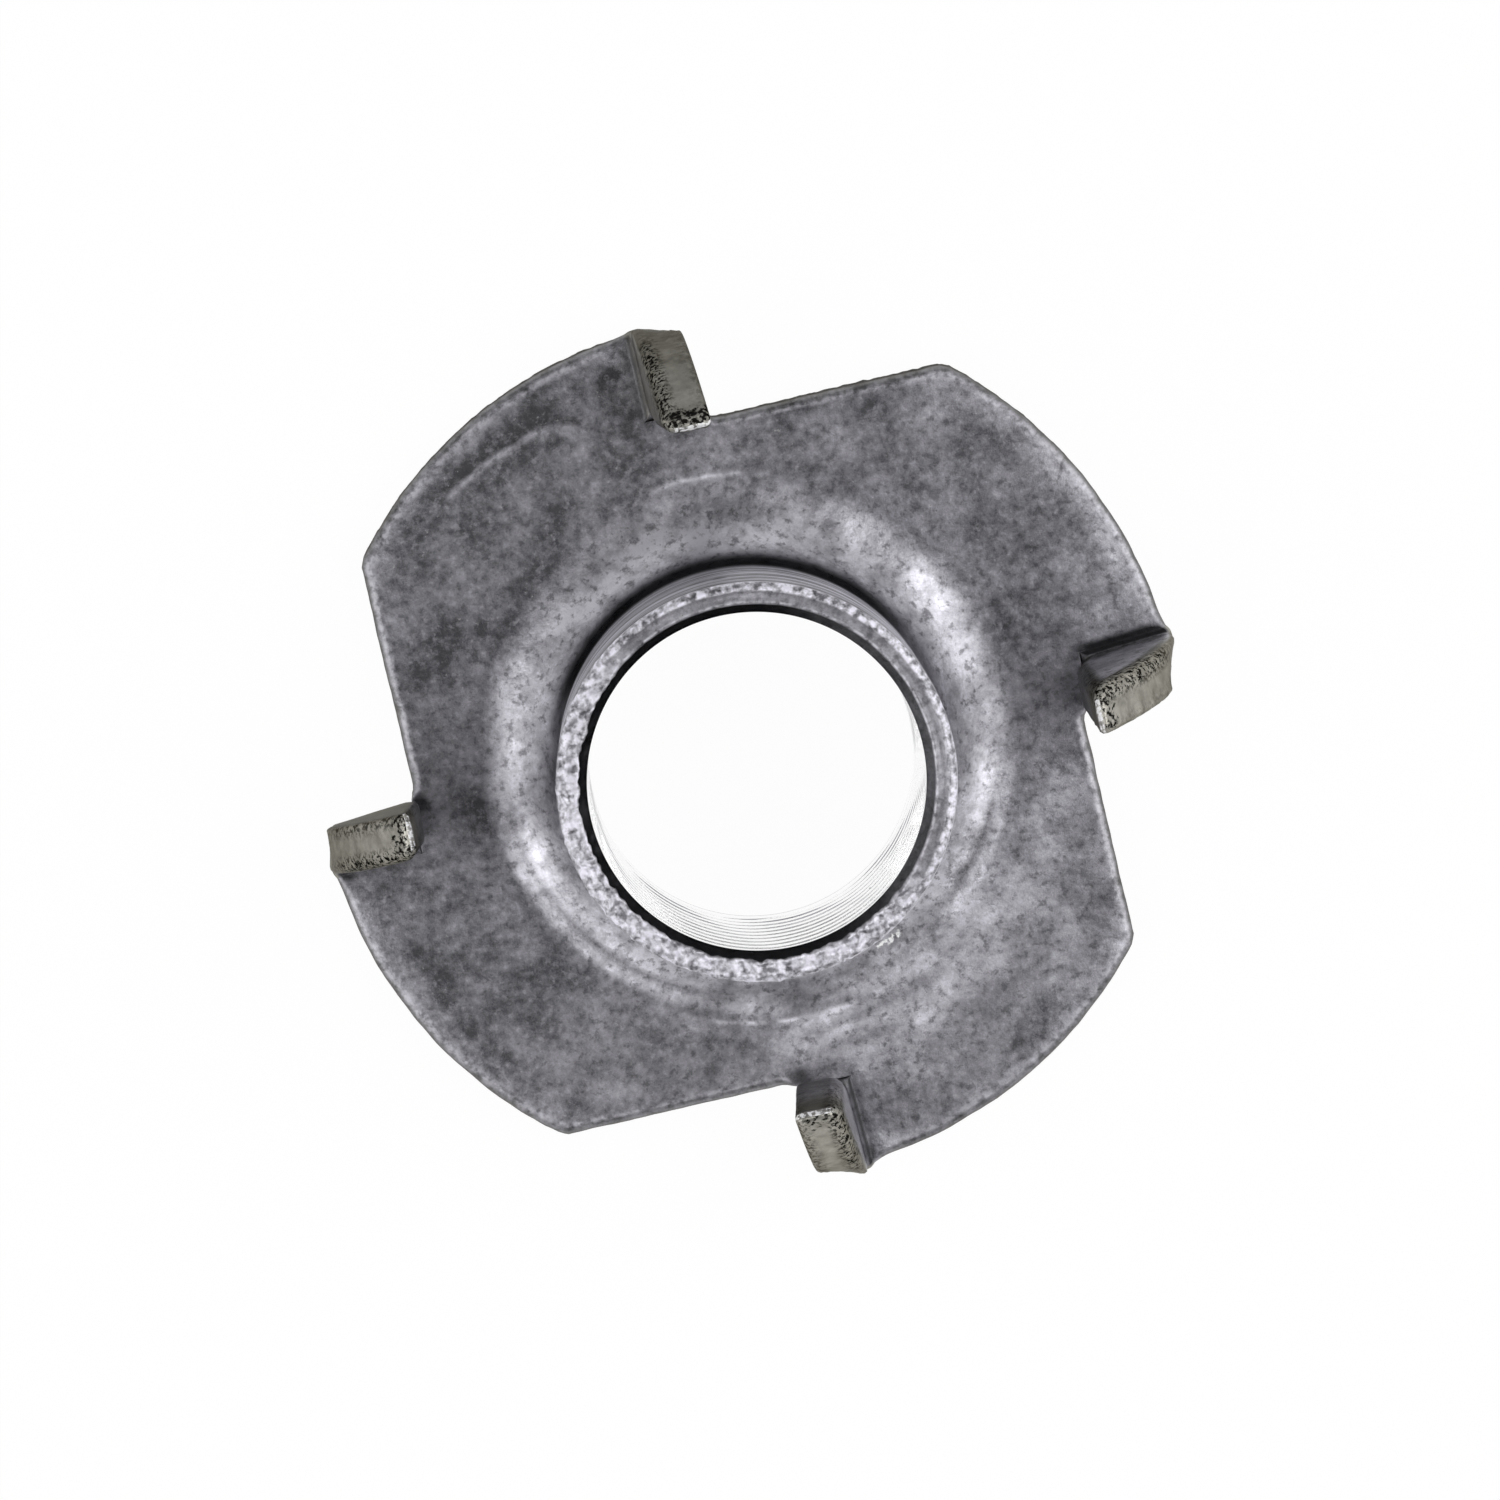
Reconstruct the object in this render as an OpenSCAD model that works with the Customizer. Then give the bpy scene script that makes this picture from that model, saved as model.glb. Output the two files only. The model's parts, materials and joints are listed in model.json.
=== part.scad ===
// Tee nut pressed from one round blank of steel sheet.
// The middle of the blank is drawn up into a round barrel, and its bore takes a fine thread.
// Pieces of the rim are sheared free along straight cuts and folded up into pointed prongs.
// The back of the flange lies on z = 0, and the barrel and the prongs point up along z.
// The first prong stands on the x axis, and every fold runs along a radius of the flange.
// All sizes are in millimetres.

/* [Flange] */
// Diameter of the round blank, which stays the diameter of the flange
flange_d = 22; // [20:0.5:26]
// Thickness of the sheet
sheet_t = 1.2; // [0.8:0.1:1.6]
// Rounding that the punch leaves along the top edge of the sheet
edge_round = 0.2; // [0.05:0.05:0.4]

/* [Barrel] */
// Height of the nut, from the back of the flange to the end of the barrel
height = 11; // [9:0.5:16]
// Outside diameter of the barrel
barrel_d = 9.7; // [9.3:0.1:10.7]
// Diameter of the bore, at the crests of its thread
bore_d = 8.2; // [7:0.1:8.6]
// Bevel at the mouth of the bore
mouth_bevel = 0.2; // [0.1:0.05:0.35]
// Rounding of the outer edge at the end of the barrel
rim_round = 0.2; // [0.05:0.05:0.3]
// Radius between the flange and the barrel, on the side of the prongs
root_r = 2; // [1:0.1:2.5]

/* [Prongs] */
// Number of prongs around the flange
prong_count = 4; // [3:1:6]
// Distance from the axis to the straight cuts that free the prongs
cut_offset = 8.5; // [8:0.1:9.5]
// How far the root of a prong stands off its radius, on the side of the flange
prong_shift = 0.1; // [0:0.05:0.3]
// Angle of the fold, which springs back a little from a square corner
fold_angle = 87; // [84:0.5:90]
// Inside radius of the fold at the root of a prong
fold_r = 0.2; // [0.15:0.05:0.6]
// Share of the thickness between the inside of the fold and the layer that doesn't stretch
k_factor = 0.4; // [0.3:0.02:0.5]
// How far the fold draws a prong in from the round rim
fold_draw = 0.06; // [0.02:0.02:0.2]
// Height of the sharp point that is worn off a prong
tip_wear = 0.3; // [0.05:0.05:0.5]

/* [Hidden] */
$fn = 96;

// Radii of the turned forms
flange_r = flange_d / 2;
barrel_r = barrel_d / 2;
bore_r = bore_d / 2;

// The draw radius on the back shares its centre line with the root radius in front
draw_r = root_r + barrel_r - bore_r;

// Length of sheet that a fold uses up, along the layer that doesn't stretch
fold_len = (fold_r + k_factor * sheet_t) * PI * fold_angle / 180;
// Face of the prong that looks toward its flange, measured across the radius
prong_face = sheet_t / 2 + prong_shift;
// Line across the radius where the flange ends and the fold begins
fold_start = prong_face + fold_r;
// Height at which the fold ends and the flat of the prong begins
fold_top = sheet_t + fold_r;
// Outer end of the fold, a little inside the rim
fold_reach = sqrt(pow(flange_r, 2) - pow(max(fold_start, fold_len - fold_start), 2)) - fold_draw;

// End of the straight cut, in line with the outside of the prong
cut_end = prong_face - sheet_t;
// Height of the blank's centre when a square fold stands it upright
blank_z = fold_top - fold_len + fold_start;
// Height where the round rim meets the inner edge in a sharp point
point_z = blank_z + sqrt(pow(flange_r, 2) - pow(cut_offset + fold_draw, 2));
// Height of the worn tip
tip_z = point_z - tip_wear;

// Reach of a cutting tool past the surface that it cuts
over = 1;

// Section of the sheet from the axis out to its punched edge, rounded along the top
module sheet_section(reach) {
    square([reach, sheet_t - edge_round]);
    square([reach - edge_round, sheet_t]);
    translate([reach - edge_round, sheet_t - edge_round])
        circle(r = edge_round);
}

// The round blank, flat on its back
module blank() {
    rotate_extrude()
        sheet_section(flange_r);
}

// Section of the drawn barrel with its root radius, before the bore is opened
module barrel_section() {
    square([barrel_r, height - rim_round]);
    square([barrel_r - rim_round, height]);
    translate([barrel_r - rim_round, height - rim_round])
        circle(r = rim_round);
    difference() {
        square([barrel_r + root_r, sheet_t + root_r]);
        translate([barrel_r + root_r, sheet_t + root_r])
            circle(r = root_r);
    }
}

// Section of the opening: the draw radius at the back, the bore and its bevelled mouth
module bore_section() {
    translate([0, -over])
        square([bore_r, height + 2 * over]);
    difference() {
        translate([0, -over])
            square([bore_r + draw_r, draw_r + over]);
        translate([bore_r + draw_r, draw_r])
            circle(r = draw_r);
    }
    polygon([
        [0, height - mouth_bevel],
        [bore_r, height - mouth_bevel],
        [bore_r + mouth_bevel + over, height + over],
        [0, height + over]
    ]);
}

// What one straight cut takes off the flange, with the rounding along its top edge
module straight_cut() {
    translate([0, cut_end, 0])
        rotate([90, 0, 0])
            linear_extrude(height = flange_r + cut_end)
                difference() {
                    translate([cut_offset - edge_round, -over])
                        square([flange_r, sheet_t + 2 * over]);
                    translate([cut_offset - 2 * edge_round, -2 * over])
                        square([2 * edge_round, sheet_t - edge_round + 2 * over]);
                    translate([cut_offset - edge_round, sheet_t - edge_round])
                        circle(r = edge_round);
                }
}

// The part of the flange that bends away into the fold
module fold_space() {
    translate([cut_offset, cut_end - over, -over])
        cube([flange_r, fold_start - cut_end + over, sheet_t + 2 * over]);
}

// The fold that turns the root of a prong up from the flange
module fold() {
    translate([0, fold_start, fold_top])
        rotate([-90, 0, 0])
            rotate([0, 90, 0])
                rotate(90 - fold_angle)
                    rotate_extrude(angle = fold_angle)
                        translate([fold_r + sheet_t, 0])
                            rotate(90)
                                difference() {
                                    sheet_section(fold_reach);
                                    translate([-over, -over])
                                        square([cut_offset + over, sheet_t + 2 * over]);
                                }
}

// The flat of a prong: a corner of the round blank stood on its fold, with a worn tip
module prong() {
    translate([0, fold_start, fold_top])
        rotate([90 - fold_angle, 0, 0])
            translate([0, -fold_start, -fold_top])
                intersection() {
                    translate([-fold_draw, cut_end, blank_z])
                        rotate([-90, 0, 0])
                            blank();
                    translate([cut_offset, -flange_r, fold_top])
                        cube([flange_r, 2 * flange_r, tip_z - fold_top]);
                }
}

// Repeats a form for every prong
module at_each_prong() {
    for (i = [0 : prong_count - 1])
        rotate([0, 0, i * 360 / prong_count])
            children();
}

// The whole nut in one piece of sheet
module tee_nut() {
    color([0.52, 0.52, 0.54])
        difference() {
            union() {
                difference() {
                    blank();
                    at_each_prong() {
                        straight_cut();
                        fold_space();
                    }
                }
                rotate_extrude()
                    barrel_section();
                at_each_prong() {
                    fold();
                    prong();
                }
            }
            rotate_extrude()
                bore_section();
        }
}

tee_nut();
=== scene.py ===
# %% [markdown]
# # A pressed tee nut
# A tee nut is stamped from one round piece of steel sheet. The press draws the middle up into a
# barrel, shears four pieces of the rim free and folds them up into prongs.
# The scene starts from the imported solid, so every size below is read from it or fits it.

# %% Load the frame
import json
import math

import bmesh
import bpy
from mathutils import Matrix, Vector, noise


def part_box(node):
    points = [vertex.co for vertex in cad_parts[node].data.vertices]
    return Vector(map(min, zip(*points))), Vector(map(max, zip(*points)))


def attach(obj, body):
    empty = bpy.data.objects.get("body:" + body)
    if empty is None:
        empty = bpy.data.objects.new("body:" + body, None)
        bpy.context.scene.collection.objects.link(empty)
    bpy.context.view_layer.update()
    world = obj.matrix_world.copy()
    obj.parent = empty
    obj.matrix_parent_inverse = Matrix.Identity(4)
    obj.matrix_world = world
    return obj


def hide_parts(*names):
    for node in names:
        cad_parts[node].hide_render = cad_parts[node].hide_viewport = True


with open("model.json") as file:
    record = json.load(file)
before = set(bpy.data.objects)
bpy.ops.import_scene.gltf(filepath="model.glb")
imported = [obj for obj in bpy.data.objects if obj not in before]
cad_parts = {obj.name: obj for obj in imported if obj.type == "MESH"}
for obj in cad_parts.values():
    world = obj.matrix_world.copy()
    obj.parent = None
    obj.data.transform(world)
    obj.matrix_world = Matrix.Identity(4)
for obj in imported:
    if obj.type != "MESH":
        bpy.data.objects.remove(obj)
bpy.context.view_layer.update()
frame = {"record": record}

MM = 0.001
mounts = {m["name"]: m for m in frame["record"]["mounts"]}

# %% [markdown]
# ## The camera
# The picture looks almost straight down the barrel. Tilting the camera a few degrees makes the
# near end of the barrel slide off the centre of the flange, as it does in the picture.
# The camera could be placed by eye, but three angles and a distance say the same in plain numbers.

# %% Camera
sheet_t = mounts["seat"]["pos_m"][2] / MM
camera_distance = 175.0
camera_lens = 164.7
lean_back = math.radians(4.60)
lean_side = math.radians(0.99)
roll = math.radians(11.72)

look = (Matrix.Rotation(lean_back, 3, "X") @ Matrix.Rotation(lean_side, 3, "Y")
        @ Matrix.Rotation(roll, 3, "Z"))
axes = look.transposed()
target = Vector((0, 0, sheet_t * MM))
camera_data = bpy.data.cameras.new("camera")
camera_data.lens = camera_lens
camera_data.sensor_width = 36.0
camera_data.clip_start = 0.005
camera = bpy.data.objects.new("camera", camera_data)
camera.matrix_world = (Matrix.Translation(target + axes @ Vector((0, 0, camera_distance * MM)))
                       @ axes.to_4x4())
bpy.context.scene.collection.objects.link(camera)
bpy.context.scene.camera = camera
print("camera at", [round(v / MM, 1) for v in camera.matrix_world.translation], "mm")

# %% [markdown]
# ## Sizes of the pressed sheet
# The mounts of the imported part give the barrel, the bore and the sheet. The rest are the sizes of
# the press tool. A fold uses up a little sheet, measured along the layer that neither stretches
# nor shrinks. No two prongs came out alike: each springs back from the square corner by its own
# small angle, its fold is turned a little off the radius, and its straight cut strays outward by a
# few tenths of a millimetre. So these are given prong by prong. Such a list always starts with the
# prong on the x axis and goes on round the flange, as angles do.

# %% Sizes in millimetres and degrees
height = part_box("tee_nut")[1][2] / MM
barrel_r = mounts["barrel"]["dims"]["r_mm"]
bore_r = mounts["thread"]["dims"]["r_mm"]
flange_r = 11.0
cut_offset = 8.5
prong_count = 4
root_r = 2.0
draw_r = root_r + barrel_r - bore_r
fold_r = 0.2
fold_top = sheet_t + fold_r
neutral_share = 0.4
neutral_r = fold_r + neutral_share * sheet_t
prong_shift = 0.1
prong_face = sheet_t / 2 + prong_shift
tip_wear = 0.3
spring_back = (2.2, 2.1, 2.1, 1.8)
fold_turn = (5.0, 2.0, 5.0, 4.0)
root_off = (-0.05, 0.06, 0.08, 0.0)
cut_in = (0.0, -0.02, 0.1, 0.12)
cut_out = (0.17, 0.13, 0.24, 0.24)

fold_angle = [math.radians(90 - s) for s in spring_back]
fold_len = [neutral_r * a for a in fold_angle]
half_cut = math.sqrt(flange_r ** 2 - cut_offset ** 2)
corner_w = [math.sqrt(flange_r ** 2 - (cut_offset + out) ** 2) for out in cut_out]


def fold_line(k, x):
    """Where the fold of a prong begins, across its radius, at a distance x from the axis."""
    skew = math.tan(math.radians(fold_turn[k])) * (x - (cut_offset + flange_r) / 2)
    return prong_face + fold_r + root_off[k] + skew


cut_end = [fold_line(k, cut_offset) - fold_r - sheet_t for k in range(prong_count)]
print("length of sheet in the folds:", [round(v, 2) for v in fold_len])

# %% [markdown]
# ## One mesh for one piece of metal
# The nut is a single sheet, so it becomes a single closed mesh. Rows of points are laid along the metal and
# stitched row to row. A modifier stack could start from the solid instead, but rows give control over each
# rounded edge and let every point carry marks: where the metal is sheared, where it is worn bright, where it
# is pitted or darkened, and where highlights and shade are painted into its colour. The finish reads those
# marks later.

# %% Points, marks and stitches
points = []
faces = []
mark_names = ("sheared", "worn", "bright", "polished", "soot", "dark", "pitted", "drawn", "tone")
marks = {name: [] for name in mark_names}
flat = {}


def add(point, **mark):
    """Keeps a point with its marks, and returns its number."""
    points.append(point)
    for name, values in marks.items():
        values.append(mark.get(name, 0.0))
    return len(points) - 1


def stitch(row, following, closed=True):
    """Fills the strip between two rows of equal length with faces."""
    count = len(row) if closed else len(row) - 1
    for i in range(count):
        j = (i + 1) % len(row)
        faces.append((row[i], row[j], following[j], following[i]))


def stitch_half(fine, coarse):
    """Joins a closed row to one with half as many points."""
    for i in range(len(coarse)):
        j = (i + 1) % len(coarse)
        a, b, c = fine[2 * i], fine[2 * i + 1], fine[(2 * i + 2) % len(fine)]
        faces.extend([(a, b, coarse[i]), (b, coarse[j], coarse[i]), (b, c, coarse[j])])


def wander(x, y, z, grain, seed=0.0):
    """Smooth noise about zero, with grains of a given size in millimetres."""
    return noise.noise(Vector((x / grain + seed, y / grain - seed, z / grain + 2 * seed)))


def ease(low, high, value):
    """Goes softly from 0 at low to 1 at high. Low may be the larger of the two."""
    t = min(max((value - low) / (high - low), 0.0), 1.0)
    return t * t * (3 - 2 * t)


def hump(middle, spread, value):
    """A bell curve that is 1 at its middle."""
    return math.exp(-((value - middle) / spread) ** 2)


print("marks that a point can carry:", ", ".join(mark_names))


# %% [markdown]
# ## The blank and its folds
# It is easiest to draw the sheet flat, as the press first cuts it, and then bend it. A point on the
# flat blank has a distance x along the prong's radius, a distance w across it and a height n above
# the back of the sheet. One function folds the prongs up and turns the result to its place.
# A tight fold squeezes metal out sideways on its inside and draws it in on its outside.

# %% Fold the flat blank
squeeze = (0.26, 0.16, 0.16, 0.32)
squeeze_reach = (3.0, 2.0, 2.0, 3.5)


def place(k, x, w, n, tab=False):
    """Place in space of a point of the flat blank. A tab is the part of the sheet that folds up."""
    y, z = w, n
    start = fold_line(k, x)
    along = start - w
    if tab and along > 0:
        out = fold_r + sheet_t - n
        bend = min(along / fold_len[k], 1.0) * fold_angle[k]
        rest = max(along - fold_len[k], 0.0)
        y = start - out * math.sin(bend) - rest * math.cos(bend)
        z = fold_top - out * math.cos(bend) + rest * math.sin(bend)
    if tab or along > -1:
        in_fold = ease(-0.5, 0.4, along) * ease(fold_len[k] + squeeze_reach[k], fold_len[k] + 0.2, along)
        x += squeeze[k] * (2 * n / sheet_t - 1.2) * in_fold * ease(9.4, 10.8, x)
    a = 2 * math.pi * k / prong_count
    return (x * math.cos(a) - y * math.sin(a), x * math.sin(a) + y * math.cos(a), z)


folded = place(0, cut_offset, tip_wear - half_cut, 0.0, tab=True)
print("the first prong's tip stands at", [round(v, 2) for v in folded], "mm")

# %% [markdown]
# ## The outline of the blank
# Every quarter of the edge is a straight cut, a narrow slit that frees the prong, the hinge of the
# fold and a piece of the round rim. The faces will be stitched from rings that leave the barrel, so
# each column gets an angle to start from, close together where the slit and the fold need detail.
# A real shear doesn't run perfectly straight, so a little noise pushes the edge in and out.

# %% Outline, one quarter at a time
cut_steps, slit_steps, fold_steps, arc_steps = 60, 5, 12, 51
quarter = cut_steps + slit_steps + fold_steps + arc_steps
around = quarter * prong_count
edge_wave = 0.035
slit_w = 0.01
slit_lip = 0.03
notch_r = 0.22
turn_stops = ((0, -40), (cut_steps, 7), (cut_steps + slit_steps, 12),
              (quarter - arc_steps, 15), (quarter, 50))


def turn_of(j):
    """Angle at which column j leaves the barrel: close columns where the sheet is slit and folded."""
    k, i = divmod(j, quarter)
    for (low, a), (high, b) in zip(turn_stops, turn_stops[1:]):
        if i < high:
            return math.radians(360 * k / prong_count + a + (b - a) * (i - low) / (high - low))


def outline(k):
    """Points of one quarter's edge, each with the way into the metal and the size of its lip."""
    edge = []
    slit_top = fold_line(k, cut_offset)
    for i in range(cut_steps):
        w = -corner_w[k] + (slit_top + corner_w[k]) * i / cut_steps
        near = ease(cut_end[k] - 0.35, cut_end[k] + 0.1, w)
        lean = cut_in[k] + (cut_out[k] - cut_in[k]) * (cut_end[k] - w) / (cut_end[k] + corner_w[k])
        inward = Vector((-1, 0))
        p = Vector((cut_offset + lean * (1 - near) + notch_r * near, w))
        if i == 0:
            inward = (inward - p / flange_r).normalized()
            p = p + inward * 0.05
        edge.append((p, inward, 1 - (1 - slit_lip) * near))
    for i in range(slit_steps):
        a = math.pi * i / (slit_steps - 1)
        inward = Vector((-math.cos(a), math.sin(a)))
        middle = Vector((cut_offset + notch_r + slit_w / 2, slit_top))
        edge.append((middle + inward * slit_w / 2, inward, slit_lip))
    arc_start = math.asin(fold_line(k, flange_r) / flange_r)
    arc_end = 2 * math.pi / prong_count - math.asin(corner_w[(k + 1) % prong_count] / flange_r)
    for i in range(arc_steps):
        a = arc_start + (arc_end - arc_start) * i / arc_steps
        inward = -Vector((math.cos(a), math.sin(a)))
        edge.append((-inward * flange_r, inward, 1.0))
    waved = []
    for p, inward, lip in edge:
        fade = ease(0.5, 2.0, abs(p.y - slit_top))
        push = 0.6 * wander(p.x, p.y, 9 * k, 1.1, 3.7) + 0.5 * wander(p.x, p.y, 9 * k, 0.35, 8.1)
        waved.append((p + inward * push * edge_wave * fade, inward, lip))
    return waved


quarters = [outline(k) for k in range(prong_count)]
print("edge points on the flange:", sum(len(q) for q in quarters))

# %% [markdown]
# ## Marks that the press left, and painted light on the flange
# The flange isn't perfectly flat or evenly grey. The punch pulls the rim of each lobe down and leaves a
# lighter line along it. One lobe has an arched ridge and a dark stain, painted light makes one side of the
# flange lighter, lightest in one sector, and beside the barrel the die has dragged light streaks round the
# axis.
# They could be painted on, but then they would stay flat. Each mark is a small formula in polar
# coordinates instead, and gives both a height and a tone.

# %% Height and tone of the upper face
ridge_lobe = (103, 138)
stain_at, stain_size = (98.8, 10.05), 0.5
streak_angle = 288
# The sector toward which painted light makes the flange lighter
light_sector = 303
arc_marks = ((89, 16, 7.05), (270, 24, 7.0))


def press_marks(x, y):
    """Change of height in millimetres and of tone at a place on the upper face, painted light included."""
    r = math.hypot(x, y)
    a = math.degrees(math.atan2(y, x)) % 360
    inset = flange_r - r
    grain = wander(x, y, 0, 0.5, 4.2)
    height_change = 0.015 * wander(x, y, 0, 3.0, 5.3) - 0.04 * ease(0.9, 0.15, inset)
    # The lobes, with painted light that is lightest in one sector
    turned = (a - light_sector + 180) % 360 - 180
    lobe_tone = 0.38 * math.cos(math.radians(turned)) - 0.8 - 0.35 * hump(-98, 35, turned)
    tone = ease(6.3, 7.1, r) * (lobe_tone - 0.3 * hump(180, 40, abs(turned)))
    tone += 1.45 * hump(0, 28, turned) * ease(8.9, 8.2, r) * ease(6.4, 7.0, r)
    tone += 0.5 * ease(0.75, 0.5, inset) * (0.8 + grain) - 0.3 * hump(0.95, 0.25, inset)
    # The arched ridge
    crest = 9.75 + 0.0167 * max(a - 112.5, 0) - 0.0122 * max(112.5 - a, 0) ** 2
    in_lobe = ease(ridge_lobe[0], ridge_lobe[0] + 4, a) * ease(ridge_lobe[1], ridge_lobe[1] - 5, a)
    height_change += in_lobe * (0.02 * hump(crest, 0.12, r) - 0.025 * ease(crest, crest + 0.35, r))
    ridge_tone = (1.7 + 1.5 * hump(117, 8, a)) * hump(crest, 0.09, r) * ease(-0.6, 0.4, grain)
    tone += in_lobe * (ridge_tone - 0.6 * hump(crest + 0.3, 0.2, r))
    # The stain, the streaks and the arcs round the barrel
    b = math.radians(stain_at[0])
    away = math.hypot(x - stain_at[1] * math.cos(b), y - stain_at[1] * math.sin(b))
    tone -= 2.2 * ease(stain_size, 0.1, away + 0.35 * grain)
    streak = wander(2.5 * math.cos(math.radians(a)), 2.5 * math.sin(math.radians(a)), 3.2 * r, 1.0, 2.6)
    turn_from = (a - streak_angle + 180) % 360 - 180
    tone += 1.1 * hump(0, 26, turn_from) * ease(9.0, 7.2, r) * ease(-0.3, 0.5, streak)
    tone += 0.35 * streak * ease(9.5, 7.5, r)
    for middle, spread, radius in arc_marks:
        off = (a - middle + 180) % 360 - 180
        tone += 3.0 * hump(0, spread, off) * hump(radius + 0.05 * grain, 0.07, r) * ease(-0.5, 0.5, grain)
    return height_change, tone


print("height and tone on the ridge:", [round(v, 3) for v in press_marks(-4.4, 8.7)])

# %% [markdown]
# ## The two faces of the sheet
# Each face runs from the root of the barrel out to the sheared edge, and on through the folds up
# the prongs. The punch drags the metal down along the edge, so the upper face stops a little short
# of it and a rounded lip fills the rest. At the tips of the prongs that lip is widest.
# A prong is measured on the flat blank too: its inner edge is the straight cut, and its outer edge is
# the round rim, so it narrows to a point by itself.

# %% Edges of a prong on the flat blank
inner_x = cut_offset + slit_w
prong_rows = 56
edge_lip = {"top": 0.2, "back": 0.08}
tip_lip = {"top": 0.42, "back": 0.18}
nose = 0.12
tip_w = tip_wear - half_cut
shoulder_w = tip_w + nose


def inner_edge(k, along):
    """Distance of a prong's inner edge from the axis, with the notch that the slit leaves at its root."""
    return inner_x + notch_r * (1 - ease(0.8 * fold_len[k], fold_len[k] + 1.0, along))


def outer_edge(w, inset=0.0):
    """Distance of the round rim from the axis, along the prong's radius."""
    return math.sqrt((flange_r - inset) ** 2 - w ** 2)


def edge_w(k, x, rise):
    """Place along a prong's edge: rise goes from 0 at the fold to 1 at the shoulder of the tip."""
    return fold_line(k, x) * (1 - rise) + shoulder_w * rise


def lip_on(face, side, along, rise):
    """Width of the rounded lip along an edge of a prong."""
    small, grown = edge_lip[face], ease(0.3, 1.0, rise)
    if side == "inner":
        small, grown = small * slit_lip, 0.8 * ease(0.0, 0.9, along) + 0.2 * grown
    return small + (tip_lip[face] - small) * grown


print("a prong is", round(outer_edge(fold_line(0, flange_r)) - inner_x, 2), "mm wide at its fold")

# %% [markdown]
# ## Painted shade and wear at the prongs
# Shade is painted into the folds, on the flange beside them and at the slits. The faces of some prongs kept
# the mottled skin of the sheet, and others are scraped down to bare pitted metal. One rule for all four would
# look stamped, so each prong has its own amounts, between 0 for none and about 1 for full.

# %% Marks near the folds and on the prongs
# Painted shade in the fold, and the share of the fold's length where it is darkest
fold_painted_shade = (1.4, 0.92, 0.8, 1.0)
fold_painted_shade_at = (0.3, 0.27, 0.2, 0.27)
# Painted shade and rubbed metal at the end of the slit
slit_painted_shade = (0.3, 0.0, 0.85, 0.7)
slit_light = (0.3, 0.2, 1.0, 0.5)
# Painted shade on the flange beside the fold, along all of it and at its outer end
fold_shade = (0.97, 0.35, 0.3, 0.45)
fold_end_painted_shade = (0.4, 0.2, 0.9, 0.8)
# How bare the upper face is scraped, between which heights that sets in, how worn it is, and how much lighter
# it is painted: that lightness is painted light, strongest on the first prong
bare_face = (0.1, 0.9, 0.6, 0.2)
bare_from = ((0.15, 0.4), (0.0, 0.05), (0.15, 0.4), (0.15, 0.4))
face_wear = (0.0, 0.12, 0.2, 0.1)
face_tone = (2.2, 0.8, 0.8, 0.8)


def near_fold(k, x, y):
    """How near a point of the flange lies to a fold, the painted shade there and the rubbed metal at the
    slit.
    """
    a = 2 * math.pi * k / prong_count
    u, w = x * math.cos(a) + y * math.sin(a), y * math.cos(a) - x * math.sin(a)
    beside = abs(w - fold_line(k, u))
    slit = math.hypot(u - cut_offset, w - cut_end[k] - 0.15)
    painted_shade = slit_painted_shade[k] * ease(0.38, 0.12, slit)
    along_fold = max(fold_shade[k] * ease(8.4, 9.0, u), fold_end_painted_shade[k] * ease(10.2, 10.7, u))
    painted_shade += ease(0.25, 0.05, beside) * along_fold
    return ease(0.9, 0.15, beside) * ease(7.9, 8.5, u), painted_shade, slit_light[k] * ease(1.5, 0.4, slit)


def prong_marks(k, x, w, border, rise):
    """Marks on the upper face of a prong. Border is 1 along the outer edge, and rise is 1 at the top."""
    bared = ease(*bare_from[k], rise)
    speckled = max(border, bare_face[k], 0.5 * ease(0.6, 0.9, rise))
    # Painted shade in the fold, darkest where the bend would mirror a softbox
    darkened = fold_painted_shade[k] * hump(fold_painted_shade_at[k] * fold_len[k], 0.42, fold_line(k, x) - w)
    return {"sheared": max(0.85 * border, bare_face[k]) * bared, "pitted": ease(0.3, 0.7, rise) * speckled,
            "dark": min(darkened, 0.97), "worn": face_wear[k] * bared, "tone": face_tone[k]}


def prong_back_marks(border, rise):
    """Marks on the outside of the fold and the back of a prong."""
    return {"sheared": 1.0, "dark": 0.42, "pitted": 0.8 * border * ease(0.2, 0.6, rise)}


print("dirt in the folds, prong by prong:", fold_painted_shade)

# %% [markdown]
# ## Lay the faces
# The rings of the flange go out from the barrel to the edge in straight steps. The outermost ring
# runs along the outline, moved in by the width of the lip, and across the hinge of each fold.

# %% Rings of the flange
ring_r = barrel_r + root_r
top_ring_count, back_ring_count = 52, 8


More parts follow.
